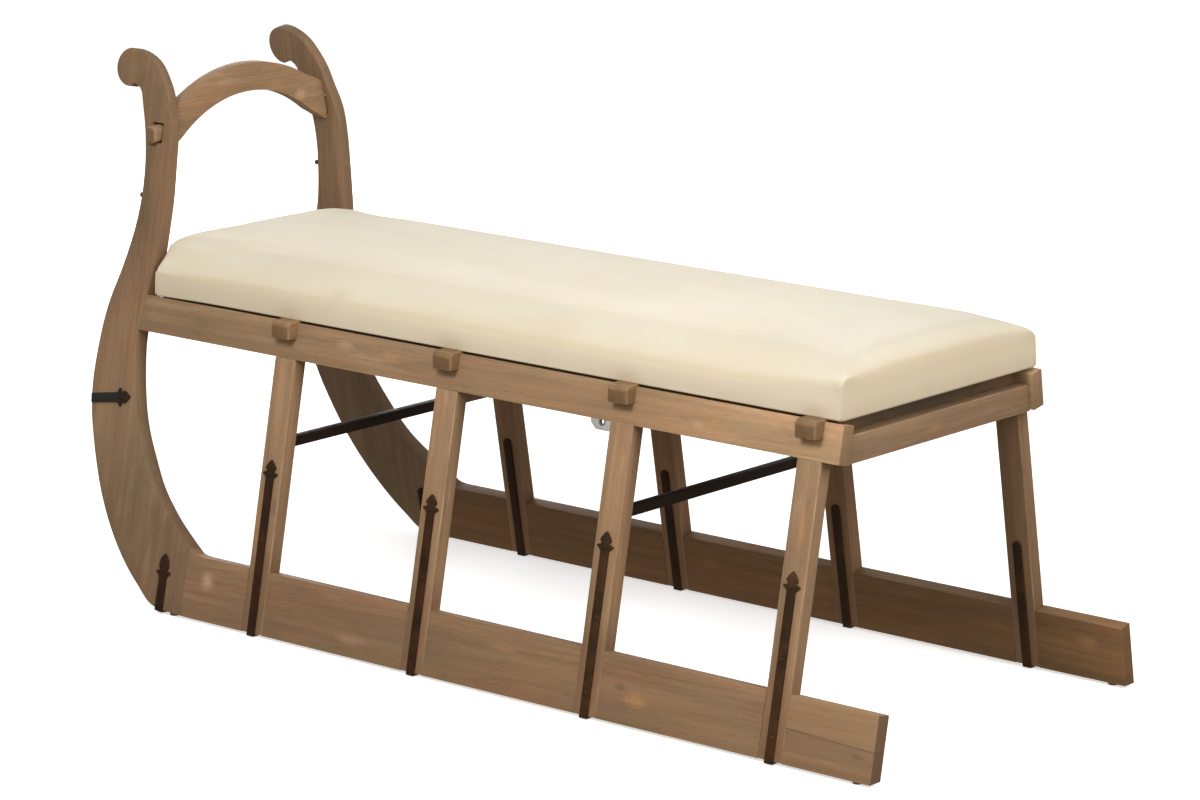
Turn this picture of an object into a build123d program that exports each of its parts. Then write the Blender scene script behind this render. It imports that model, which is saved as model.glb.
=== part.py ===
from build123d import *
import os
from math import sin, cos, tan, radians, sqrt, hypot, atan2, pi

os.makedirs("parts", exist_ok=True)

# ------------------------------------------------------------------
# Sleigh bench: an upholstered bench on two splayed sled side frames.
# World frame: +X towards the curled front, +Y the sled's left side,
# +Z up, origin on the floor under the middle of the overall box.
# Side frame coordinates: u along the runner, measured forwards from
# the front edge of the rearmost leg, v up the leaning board from its
# lower edge, w through its thickness from the outer face inwards.
# Heights of cross members are measured from the runners' undersides.
# ------------------------------------------------------------------

# overall stance
SPLAY = 10.8            # degrees that each side frame leans in
HALF_TRACK = 300.0      # outer face of a runner at its lower edge
LIFT = 4.5              # underside of the runners above the floor
U_SHIFT = -546.25       # u = 0 in world x
BOARD = 22.0            # thickness of every side frame member

# runner and curled upright
RUNNER_REAR = -175.5
RUNNER_HEIGHT = 88.5
SCARF_U = 1018.0        # butt joint between runner and upright

# legs: front edges along u, front to rear
LEG_FRONTS = (("leg_1", 900.0), ("leg_2", 605.0), ("leg_3", 303.0), ("leg_4", 0.0))
LEG_WIDTH = 38.0
CHEEK = 6.0             # forked foot cheeks let into the runner
LEG_TENON_WIDTH = 24.0
LEG_TENON_HEIGHT = 25.0

# seat rails
RAIL_LOW = 384.8
RAIL_HIGH = 435.6
RAIL_REAR = -65.0

# seat bearers notched over the rails
BEARER_WIDTH = 33.0
BEARER_LOW = 406.0
BEARER_HIGH = 431.0
BEARER_HALF_LENGTH = 239.0
BEARER_CHAMFER = 5.0

# rear apron and the cross rail under the second bearer
APRON_REAR = -58.5
APRON_THICK = 20.0
APRON_LOW = 371.5
APRON_HIGH = 409.0
STUB_LENGTH = 10.0
STUB_THICK = 12.0
STUB_HEIGHT = 20.0
CROSS_RAIL_THICK = 22.0
CROSS_RAIL_LOW = 356.5

# square iron stretchers
BAR = 14.0
BAR_LOW = 252.0
BAR_SOCKET = 8.0

# arched crosspiece between the uprights
ARCH_REAR = 1166.0
ARCH_THICK = 20.0
ARCH_TOP_CROWN = 732.5
ARCH_TOP_RADIUS = 248.0
ARCH_LOW_CROWN = 692.0
ARCH_LOW_RADIUS = 215.0
ARCH_MIDDLE = -4.0        # the hand-cut arch sits a little to the right
ARCH_FOOT = 631.5
ARCH_TENON_LOW = 638.0
ARCH_TENON_TALL = 24.5
ARCH_TENON_END = 189.0
ARCH_TENON_ROUND = 8.0
ARCH_TENON_CHAMFER = 2.0
MORTISE_SLACK_TOP = 3.5
MORTISE_SLACK_REAR = 2.0

# ironwork
IRON = 3.0
STRAP_WIDTH = 13.5
ARROW_WIDTH = 27.0
BROW_U = 1241.5         # strap round the front edge of the upright
BROW_V = 277.0
BROW_TILT = 8.5
BROW_REACH = 77.0
BROW_INNER = 58.0
BROW_WRAP = 1.2
ARROW_LENGTH = 20.0
PIN_V = 573.5
PIN_U = 1190.5
PIN_RADIUS = 2.5
PIN_NECK = 7.5
PIN_HEAD = 3.5
PIN_HEAD_TALL = 4.0
BRACKET_LENGTH = 40.0
BRACKET_DROP = 17.0
BRACKET_THICK = 4.0
BRACKET_HOLE = 6.0

# upholstery
CUSHION_REAR = -59.5
CUSHION_FRONT = 1143.5
CUSHION_HALF_WIDTH = 216.0
CUSHION_SECTIONS = (
    # height, inset at sides and rear, inset at front, corner radius
    (431.0,   0.0,    0.0,   8.0),
    (470.0,   0.0,    0.0,   8.0),
    (482.0,   3.0,    0.5,   10.0),
    (491.0,   11.0,   2.0,   16.0),
    (497.0,   28.0,   4.0,   24.0),
    (502.0,   56.0,   8.0,   36.0),
    (507.0,   95.0,   15.0,  48.0),
    (511.0,   135.0,  28.0,  50.0),
    (514.0,   180.0,  60.0,  28.0),
)
SEAT_BOARD_LOW = 424.0
SEAT_BOARD_HIGH = 440.0
SEAT_BOARD_HALF_WIDTH = 204.0
SEAT_BOARD_INSET = 16.0
SEAT_BOARD_FRONT_INSET = 4.0

# floor glides
GLIDE_RADIUS = 6.5
GLIDES_U = (1040.0, -149.0)

SIDES = (("left", 1), ("right", -1))
LEAN = radians(SPLAY)

# outline of a side board, one station per row, walked from the sole
# round the toe, up the front edge, over the scroll and down the rear
# edge to the top of the runner; heading is the edge's direction there
OUTLINE = (
    # u,      v,      heading in degrees
    (994.0,   0.0,    0.0),
    (1094.6,  19.3,   35.4),
    (1209.4,  166.9,  67.5),
    (1243.5,  318.0,  92.7),
    (1221.2,  441.7,  111.2),
    (1190.0,  595.0,  89.0),
    (1205.0,  688.0,  72.0),
    (1230.0,  728.0,  5.0),
    (1241.0,  723.0,  0.0),
    (1268.0,  750.0,  90.0),
    (1240.0,  777.5,  180.0),
    (1205.0,  768.0,  207.0),
    (1171.0,  733.0,  236.0),
    (1153.0,  685.0,  256.0),
    (1146.5,  600.0,  269.0),
    (1149.5,  494.4,  272.5),
    (1166.0,  352.0,  264.0),
    (1130.0,  223.8,  240.8),
    (1084.4,  152.5,  225.8),
    (1018.0,  96.0,   214.0),
    (990.0,   88.5,   180.0),
)

# iron straps round the runner: name, middle along u, arrow tip, arrow
# barb and top of the inner arm, all in v
STRAPS = tuple(
    (name + "_strap", front - LEG_WIDTH / 2, 243.0, 223.0, 188.0) for name, front in LEG_FRONTS
) + (("toe_strap", 1062.0, 82.0, 55.0, 77.0),)


def side_plane(side, w=0.0):
    """Plane of a side board at depth w: local x forwards, local y up the board."""
    inward = Vector(0, -side * cos(LEAN), -sin(LEAN))
    return Plane(origin=Vector(U_SHIFT, side * HALF_TRACK, LIFT) + inward * w,
                 x_dir=(1, 0, 0), z_dir=inward * side)


def inner_y(z, w=BOARD):
    """Distance of the board's layer w from the middle at height z over the soles."""
    return HALF_TRACK - z * tan(LEAN) - w / cos(LEAN)


def arc_through(p, heading, q):
    """Arc that leaves p along heading (radians) and ends in q; returns its end heading."""
    du, dv = q[0] - p[0], q[1] - p[1]
    bend = (atan2(dv, du) - heading + pi) % (2 * pi) - pi
    if abs(bend) < 1e-3:
        Line(p, q)
    else:
        radius = hypot(du, dv) / (2 * sin(bend))
        middle = (p[0] + radius * (sin(heading + bend) - sin(heading)),
                  p[1] - radius * (cos(heading + bend) - cos(heading)))
        ThreePointArc(p, middle, q)
    return heading + 2 * bend


def two_arcs(start, end):
    """A pair of tangent arcs that joins two outline stations."""
    (pu, pv, pa), (qu, qv, qa) = start, end
    pa, qa = radians(pa), radians(qa)
    su, sv = cos(pa) + cos(qa), sin(pa) + sin(qa)
    du, dv = qu - pu, qv - pv
    turn = 1 - cos(pa - qa)
    along, square = du * su + dv * sv, du * du + dv * dv
    if turn < 1e-6:
        d = square / (4 * (du * cos(qa) + dv * sin(qa)))
    else:
        d = (sqrt(along * along + 2 * turn * square) - along) / (2 * turn)
    knee = ((pu + qu + d * (cos(pa) - cos(qa))) / 2, (pv + qv + d * (sin(pa) - sin(qa))) / 2)
    arc_through(knee, arc_through((pu, pv), pa, knee), (qu, qv))


# flat face of runner and upright together, u along x and v along y
with BuildSketch() as board:
    with BuildLine():
        for start, end in zip(OUTLINE[:-1], OUTLINE[1:]):
            two_arcs(start, end)
        Polyline(OUTLINE[-1][:2], (RUNNER_REAR, RUNNER_HEIGHT), (RUNNER_REAR, 0), OUTLINE[0][:2])
    make_face()


def world_box(x0, x1, y0, y1, z0, z1, mode=Mode.ADD):
    """Upright box between world limits, in the open part."""
    with Locations(((x0 + x1) / 2, (y0 + y1) / 2, (z0 + z1) / 2)):
        Box(x1 - x0, y1 - y0, z1 - z0, mode=mode)


def bearer_x(front):
    """Rear and front world x of the bearer over a leg pair."""
    middle = U_SHIFT + front - LEG_WIDTH / 2
    return middle - BEARER_WIDTH / 2, middle + BEARER_WIDTH / 2


def bar_x(front):
    middle = U_SHIFT + front - LEG_WIDTH / 2
    return middle - BAR / 2, middle + BAR / 2


def arrow(length):
    """Closed outline of a strap's arm: (distance past the barbs, offset) rows; None is the root."""
    shaft = STRAP_WIDTH / 2
    half = ((None, shaft), (-6.5, shaft), (-3.5, shaft + 1.5), (0.0, ARROW_WIDTH / 2),
            (2.0, ARROW_WIDTH / 2 - 1.0), (3.5, 7.0), (5.5, 6.6), (7.5, 8.8), (9.5, 9.0),
            (length - 7.5, 7.2), (length - 3.0, 3.6), (length, 0.8))
    rows = [(along, across) for along, across in half]
    return rows + [(along, -across) for along, across in reversed(half)] + [rows[0]]


def tilted(a, b):
    """Point of the upright's strap, a forwards along it and b across it, in u and v."""
    t = radians(BROW_TILT)
    return BROW_U + a * cos(t) + b * sin(t), BROW_V - a * sin(t) + b * cos(t)


def seat_board_box(mode):
    """Space of the seat board: between the bearers' raised ends and up into the cushion."""
    world_box(U_SHIFT + CUSHION_REAR + SEAT_BOARD_INSET, U_SHIFT + CUSHION_FRONT - SEAT_BOARD_FRONT_INSET,
              -SEAT_BOARD_HALF_WIDTH, SEAT_BOARD_HALF_WIDTH,
              LIFT + SEAT_BOARD_LOW, LIFT + SEAT_BOARD_HIGH, mode)


def plane_sole():
    """Planes the lower edge of a leaning member level with the floor."""
    split(bisect_by=Plane.XY.offset(LIFT), keep=Keep.TOP)


def finish(name, part):
    part.label = name
    export_step(part, "parts/" + name + ".step")


PINS_W = BOARD / 2
BARRED_LEGS = ("leg_1", "leg_3")

for hand, side in SIDES:

    # ---- runner board with recesses for the forked feet ----------
    with BuildPart() as runner:
        with BuildSketch(side_plane(side)):
            add(board.sketch)
            with Locations(((RUNNER_REAR + SCARF_U) / 2, 300)):
                Rectangle(SCARF_U - RUNNER_REAR, 700, mode=Mode.INTERSECT)
        extrude(amount=side * BOARD)
        for w in (0.0, BOARD - CHEEK):
            with BuildSketch(side_plane(side, w)):
                for name, front in LEG_FRONTS:
                    with Locations((front - LEG_WIDTH / 2, 50)):
                        Rectangle(LEG_WIDTH, 160)
            extrude(amount=side * CHEEK, mode=Mode.SUBTRACT)
        plane_sole()
    finish(hand + "_runner", runner.part)

    # ---- curled upright with its scroll ---------------------------
    with BuildPart() as upright:
        with BuildSketch(side_plane(side)):
            add(board.sketch)
            with Locations((SCARF_U + 200, 400)):
                Rectangle(400, 900, mode=Mode.INTERSECT)
        extrude(amount=side * BOARD)
        # mortise of the arch tenon, with some slack above and behind it
        world_box(U_SHIFT + ARCH_REAR - MORTISE_SLACK_REAR, U_SHIFT + ARCH_REAR + ARCH_THICK,
                  side * 200 - 90, side * 200 + 90,
                  LIFT + ARCH_TENON_LOW, LIFT + ARCH_TENON_LOW + ARCH_TENON_TALL + MORTISE_SLACK_TOP,
                  Mode.SUBTRACT)
        # hole of the rope pin in the front edge
        with BuildSketch(Plane.YZ.offset(U_SHIFT + PIN_U - 8)):
            with Locations((side * (HALF_TRACK - PIN_V * sin(LEAN) - PINS_W * cos(LEAN)),
                            LIFT + PIN_V * cos(LEAN) - PINS_W * sin(LEAN))):
                Circle(PIN_RADIUS)
        extrude(amount=40, mode=Mode.SUBTRACT)
        plane_sole()
    finish(hand + "_upright", upright.part)

    # ---- seat rail, its front end shaped to the upright -----------
    with BuildPart() as rail:
        with BuildSketch(side_plane(side)):
            with Locations(((RAIL_REAR + 1190) / 2, (RAIL_LOW + RAIL_HIGH) / 2)):
                Rectangle(1190 - RAIL_REAR, RAIL_HIGH - RAIL_LOW)
            add(board.sketch, mode=Mode.SUBTRACT)
        extrude(amount=side * BOARD)
        for name, front in LEG_FRONTS:
            x0, x1 = bearer_x(front)
            world_box(x0, x1, side * 210 - 80, side * 210 + 80,
                      LIFT + BEARER_LOW, LIFT + BEARER_HIGH, Mode.SUBTRACT)
        seat_board_box(Mode.SUBTRACT)
        # mortises of the leg tenons
        with BuildSketch(side_plane(side, CHEEK)):
            for name, front in LEG_FRONTS:
                with Locations((front - LEG_WIDTH / 2, RAIL_LOW + LEG_TENON_HEIGHT / 2)):
                    Rectangle(LEG_TENON_WIDTH, LEG_TENON_HEIGHT)
        extrude(amount=side * (BOARD - 2 * CHEEK), mode=Mode.SUBTRACT)
        # mortise of the apron's stub tenon
        y_in = inner_y(390)
        world_box(U_SHIFT + APRON_REAR + (APRON_THICK - STUB_THICK) / 2,
                  U_SHIFT + APRON_REAR + (APRON_THICK + STUB_THICK) / 2,
                  side * y_in - STUB_LENGTH, side * y_in + STUB_LENGTH,
                  LIFT + 390 - STUB_HEIGHT / 2 + 4, LIFT + 390 + STUB_HEIGHT / 2, Mode.SUBTRACT)
    finish(hand + "_seat_rail", rail.part)

    # ---- legs: forked foot below, tenon above ---------------------
    for name, front in LEG_FRONTS:
        with BuildPart() as leg:
            with BuildSketch(side_plane(side)):
                with Locations((front - LEG_WIDTH / 2, RAIL_LOW / 2 - 5)):
                    Rectangle(LEG_WIDTH, RAIL_LOW + 10)
            extrude(amount=side * BOARD)
            with BuildSketch(side_plane(side, CHEEK)):
                with Locations((front - LEG_WIDTH / 2, RUNNER_HEIGHT / 2 - 15)):
                    Rectangle(LEG_WIDTH, RUNNER_HEIGHT + 30)
            extrude(amount=side * (BOARD - 2 * CHEEK), mode=Mode.SUBTRACT)
            with BuildSketch(side_plane(side, CHEEK)):
                with Locations((front - LEG_WIDTH / 2, RAIL_LOW + LEG_TENON_HEIGHT / 2)):
                    Rectangle(LEG_TENON_WIDTH, LEG_TENON_HEIGHT)
            extrude(amount=side * (BOARD - 2 * CHEEK))
            if name in BARRED_LEGS:
                x0, x1 = bar_x(front)
                y_in = inner_y(BAR_LOW + BAR / 2)
                world_box(x0, x1, side * y_in - BAR_SOCKET, side * y_in + BAR_SOCKET,
                          LIFT + BAR_LOW, LIFT + BAR_LOW + BAR, Mode.SUBTRACT)
            plane_sole()
        finish(hand + "_" + name, leg.part)

    # ---- forged straps wrapped under the runner --------------------
    for name, middle, tip, barb, inner in STRAPS:
        half = STRAP_WIDTH / 2
        with BuildPart() as strap:
            # outer arm with its arrow head
            with BuildSketch(side_plane(side)):
                with BuildLine():
                    Polyline(*[(middle + across, -12 if along is None else barb + along)
                               for along, across in arrow(tip - barb)])
                make_face()
            extrude(amount=-side * IRON)
            # inner arm with its round end
            with BuildSketch(side_plane(side, BOARD)):
                with Locations((middle, (inner - half) / 2 - 6)):
                    Rectangle(STRAP_WIDTH, inner - half + 12)
                with Locations((middle, inner - half)):
                    Circle(half)
            extrude(amount=side * IRON)
            if middle < OUTLINE[0][0]:
                # flat wrap under the planed sole
                split(bisect_by=Plane.XY.offset(LIFT - IRON), keep=Keep.TOP)
                with BuildSketch(Plane.YZ.offset(U_SHIFT + middle - half)):
                    with BuildLine():
                        Polyline((side * inner_y(0, -IRON), LIFT),
                                 (side * inner_y(0, BOARD + IRON), LIFT),
                                 (side * inner_y(-IRON, BOARD + IRON), LIFT - IRON),
                                 (side * inner_y(-IRON, -IRON), LIFT - IRON),
                                 (side * inner_y(0, -IRON), LIFT))
                    make_face()
                extrude(amount=STRAP_WIDTH)
            else:
                # curved wrap, one iron thickness under the rising toe
                with BuildSketch(side_plane(side)):
                    with Locations((middle, 10)):
                        Rectangle(STRAP_WIDTH, 44)
                extrude(amount=side * BOARD)
                with BuildSketch(side_plane(side, -IRON)):
                    add(board.sketch)
                    offset(amount=IRON, kind=Kind.ARC)
                extrude(amount=side * (BOARD + 2 * IRON), mode=Mode.INTERSECT)
                with BuildSketch(side_plane(side)):
                    add(board.sketch)
                extrude(amount=side * BOARD, mode=Mode.SUBTRACT)
        finish(hand + "_" + name, strap.part)

    # ---- forged strap round the front edge of the upright ----------
    half = STRAP_WIDTH / 2
    with BuildPart() as brow:
        with BuildSketch(side_plane(side)):
            with BuildLine():
                Polyline(*[tilted(14 if along is None else ARROW_LENGTH - BROW_REACH - along, across)
                           for along, across in arrow(ARROW_LENGTH)])
            make_face()
        extrude(amount=-side * IRON)
        with BuildSketch(side_plane(side, BOARD)):
            with BuildLine():
                Polyline(*[tilted(a, b) for a, b in (
                    (14, -half), (14, half), (-BROW_INNER + half, half),
                    (-BROW_INNER + half, -half), (14, -half))])
            make_face()
            with Locations(tilted(-BROW_INNER + half, 0)):
                Circle(half)
        extrude(amount=side * IRON)
        # wrap, thin where it bends round the front edge
        with BuildSketch(side_plane(side)):
            with BuildLine():
                Polyline(*[tilted(a, b) for a, b in (
                    (-14, -half), (14, -half), (14, half), (-14, half), (-14, -half))])
            make_face()
        extrude(amount=side * BOARD)
        with BuildSketch(side_plane(side, -IRON)):
            add(board.sketch)
            offset(amount=BROW_WRAP, kind=Kind.ARC)
        extrude(amount=side * (BOARD + 2 * IRON), mode=Mode.INTERSECT)
        with BuildSketch(side_plane(side)):
            add(board.sketch)
        extrude(amount=side * BOARD, mode=Mode.SUBTRACT)
    finish(hand + "_brow_strap", brow.part)

# ---- seat bearers, ends proud of the rails and chamfered ------------
for name, front in LEG_FRONTS:
    with BuildPart() as bearer:
        x0, x1 = bearer_x(front)
        with BuildSketch(Plane.YZ.offset(x0)):
            with Locations((0, LIFT + (BEARER_LOW + BEARER_HIGH) / 2)):
                Rectangle(2 * BEARER_HALF_LENGTH, BEARER_HIGH - BEARER_LOW)
            chamfer(vertices().group_by(Axis.Y)[-1], length=BEARER_CHAMFER)
        extrude(amount=BEARER_WIDTH)
        seat_board_box(Mode.SUBTRACT)
    finish("bearer_" + name[-1], bearer.part)

# ---- rear apron with stub tenons -------------------------------------
with BuildPart() as apron:
    with BuildSketch(Plane.YZ.offset(U_SHIFT + APRON_REAR)):
        with BuildLine():
            Polyline((-inner_y(APRON_LOW), LIFT + APRON_LOW), (inner_y(APRON_LOW), LIFT + APRON_LOW),
                     (inner_y(APRON_HIGH), LIFT + APRON_HIGH), (-inner_y(APRON_HIGH), LIFT + APRON_HIGH),
                     (-inner_y(APRON_LOW), LIFT + APRON_LOW))
        make_face()
    extrude(amount=APRON_THICK)
    y_in = inner_y(390)
    world_box(U_SHIFT + APRON_REAR + (APRON_THICK - STUB_THICK) / 2,
              U_SHIFT + APRON_REAR + (APRON_THICK + STUB_THICK) / 2,
              -y_in - STUB_LENGTH, y_in + STUB_LENGTH,
              LIFT + 390 - STUB_HEIGHT / 2 + 4, LIFT + 390 + STUB_HEIGHT / 2)
finish("rear_apron", apron.part)

# ---- cross rail under the second bearer -------------------------------
with BuildPart() as cross_rail:
    middle = U_SHIFT + LEG_FRONTS[1][1] - LEG_WIDTH / 2
    with BuildSketch(Plane.YZ.offset(middle - CROSS_RAIL_THICK / 2)):
        with BuildLine():
            Polyline((-inner_y(CROSS_RAIL_LOW), LIFT + CROSS_RAIL_LOW),
                     (inner_y(CROSS_RAIL_LOW), LIFT + CROSS_RAIL_LOW),
                     (inner_y(BEARER_LOW), LIFT + BEARER_LOW),
                     (-inner_y(BEARER_LOW), LIFT + BEARER_LOW),
                     (-inner_y(CROSS_RAIL_LOW), LIFT + CROSS_RAIL_LOW))
        make_face()
    extrude(amount=CROSS_RAIL_THICK)
finish("cross_rail", cross_rail.part)

# ---- square iron stretchers let into the legs --------------------------
for name, front in LEG_FRONTS:
    if name in BARRED_LEGS:
        with BuildPart() as bar:
            x0, x1 = bar_x(front)
            y_end = inner_y(BAR_LOW + BAR / 2) + BAR_SOCKET
            world_box(x0, x1, -y_end, y_end, LIFT + BAR_LOW, LIFT + BAR_LOW + BAR)
        finish("front_stretcher" if name == "leg_1" else "rear_stretcher", bar.part)

# ---- arched crosspiece with through tenons ------------------------------
with BuildPart() as arch:
    with BuildSketch(Plane.YZ.offset(U_SHIFT + ARCH_REAR)):
        with Locations((ARCH_MIDDLE, LIFT + ARCH_TOP_CROWN - ARCH_TOP_RADIUS)):
            Circle(ARCH_TOP_RADIUS)
        with Locations((ARCH_MIDDLE, LIFT + ARCH_LOW_CROWN - ARCH_LOW_RADIUS)):
            Circle(ARCH_LOW_RADIUS, mode=Mode.SUBTRACT)
        with BuildSketch(mode=Mode.INTERSECT):
            with BuildLine():
                Polyline((-inner_y(ARCH_FOOT), LIFT + ARCH_FOOT), (inner_y(ARCH_FOOT), LIFT + ARCH_FOOT),
                         (inner_y(760), LIFT + 760), (-inner_y(760), LIFT + 760),
                         (-inner_y(ARCH_FOOT), LIFT + ARCH_FOOT))
            make_face()
    extrude(amount=ARCH_THICK)
    for side in (1, -1):
        near, far = inner_y(ARCH_TENON_LOW + ARCH_TENON_TALL) - 2, ARCH_TENON_END
        with BuildSketch(Plane((0, side * near, 0), x_dir=(1, 0, 0), z_dir=(0, side, 0))):
            with Locations((U_SHIFT + ARCH_REAR + ARCH_THICK / 2,
                            -side * (LIFT + ARCH_TENON_LOW + ARCH_TENON_TALL / 2))):
                RectangleRounded(ARCH_THICK, ARCH_TENON_TALL, ARCH_TENON_ROUND)
        extrude(amount=far - near)
    for end in (faces().sort_by(Axis.Y)[-1], faces().sort_by(Axis.Y)[0]):
        chamfer(end.edges(), length=ARCH_TENON_CHAMFER)
finish("front_arch", arch.part)

# ---- seat board and cushion ----------------------------------------------
with BuildPart() as seat_board:
    seat_board_box(Mode.ADD)
finish("seat_board", seat_board.part)

# stuffed cushion: level sides, soft shoulders and a shallow crown, lofted
# through round-cornered rectangles that shrink upwards
CUSHION_MIDDLE = U_SHIFT + (CUSHION_REAR + CUSHION_FRONT) / 2

with BuildPart() as cushion:
    for height, inset, front_inset, radius in CUSHION_SECTIONS:
        with BuildSketch(Plane.XY.offset(LIFT + height)):
            with Locations((CUSHION_MIDDLE + (inset - front_inset) / 2, 0)):
                RectangleRounded(CUSHION_FRONT - CUSHION_REAR - inset - front_inset,
                                 2 * (CUSHION_HALF_WIDTH - inset), radius)
    loft(ruled=True)
    seat_board_box(Mode.SUBTRACT)
finish("cushion", cushion.part)

# ---- small ironwork, one solid a side in shared nodes ----------------------
with BuildPart() as pins:
    for side in (1, -1):
        y = side * (HALF_TRACK - PIN_V * sin(LEAN) - PINS_W * cos(LEAN))
        z = LIFT + PIN_V * cos(LEAN) - PINS_W * sin(LEAN)
        with BuildSketch(Plane.YZ.offset(U_SHIFT + PIN_U - 8)):
            with Locations((y, z)):
                Circle(PIN_RADIUS)
        extrude(amount=8 + PIN_NECK)
        with BuildSketch(Plane.YZ.offset(U_SHIFT + PIN_U + PIN_NECK)):
            with Locations((y, z)):
                Circle(PIN_HEAD)
        extrude(amount=PIN_HEAD_TALL)
finish("rope_pins", pins.part)

with BuildPart() as brackets:
    for side in (1, -1):
        back = LEG_FRONTS[2][1]
        with BuildSketch(side_plane(side, 1.0)):
            with BuildLine():
                Polyline((back, RAIL_LOW), (back, RAIL_LOW - BRACKET_DROP),
                         (back + BRACKET_LENGTH - 12, RAIL_LOW - BRACKET_DROP),
                         (back + BRACKET_LENGTH - 3, RAIL_LOW - BRACKET_DROP * 0.55),
                         (back + BRACKET_LENGTH, RAIL_LOW), (back, RAIL_LOW))
            make_face()
            with Locations((back + 19, RAIL_LOW - 6)):
                Circle(BRACKET_HOLE / 2, mode=Mode.SUBTRACT)
        extrude(amount=side * BRACKET_THICK)
finish("seat_brackets", brackets.part)

with BuildPart() as glides:
    for side in (1, -1):
        for u in GLIDES_U:
            with BuildSketch():
                with Locations((U_SHIFT + u, side * (HALF_TRACK - 11))):
                    Circle(GLIDE_RADIUS)
            extrude(amount=LIFT)
finish("floor_glides", glides.part)
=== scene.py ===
import math

import bmesh
import bpy
from mathutils import Matrix, Vector


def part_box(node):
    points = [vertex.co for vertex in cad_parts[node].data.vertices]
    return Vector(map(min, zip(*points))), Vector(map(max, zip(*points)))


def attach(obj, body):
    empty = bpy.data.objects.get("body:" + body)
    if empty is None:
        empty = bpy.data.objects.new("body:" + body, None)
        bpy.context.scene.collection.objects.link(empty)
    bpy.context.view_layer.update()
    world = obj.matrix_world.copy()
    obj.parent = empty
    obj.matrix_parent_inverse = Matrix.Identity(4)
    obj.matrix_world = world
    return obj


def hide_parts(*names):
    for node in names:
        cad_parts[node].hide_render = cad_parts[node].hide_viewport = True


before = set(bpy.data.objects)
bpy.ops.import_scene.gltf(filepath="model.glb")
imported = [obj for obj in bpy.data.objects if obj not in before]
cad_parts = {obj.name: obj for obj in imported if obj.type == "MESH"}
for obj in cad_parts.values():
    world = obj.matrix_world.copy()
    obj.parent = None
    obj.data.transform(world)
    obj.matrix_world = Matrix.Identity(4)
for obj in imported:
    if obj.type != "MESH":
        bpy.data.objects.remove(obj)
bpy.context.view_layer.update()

# ------------------------------------------------------------------
# frame of a leaning side board: u along the runner, v up the board,
# w through it from the outer face inwards, all in metres
# ------------------------------------------------------------------
LEAN = math.radians(10.8)
U_SHIFT, HALF_TRACK, LIFT, BOARD = -0.54625, 0.300, 0.0045, 0.022


def board_axes(side):
    return (Vector((1, 0, 0)),
            Vector((0, -side * math.sin(LEAN), math.cos(LEAN))),
            Vector((0, -side * math.cos(LEAN), -math.sin(LEAN))),
            Vector((U_SHIFT, side * HALF_TRACK, LIFT)))


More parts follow.
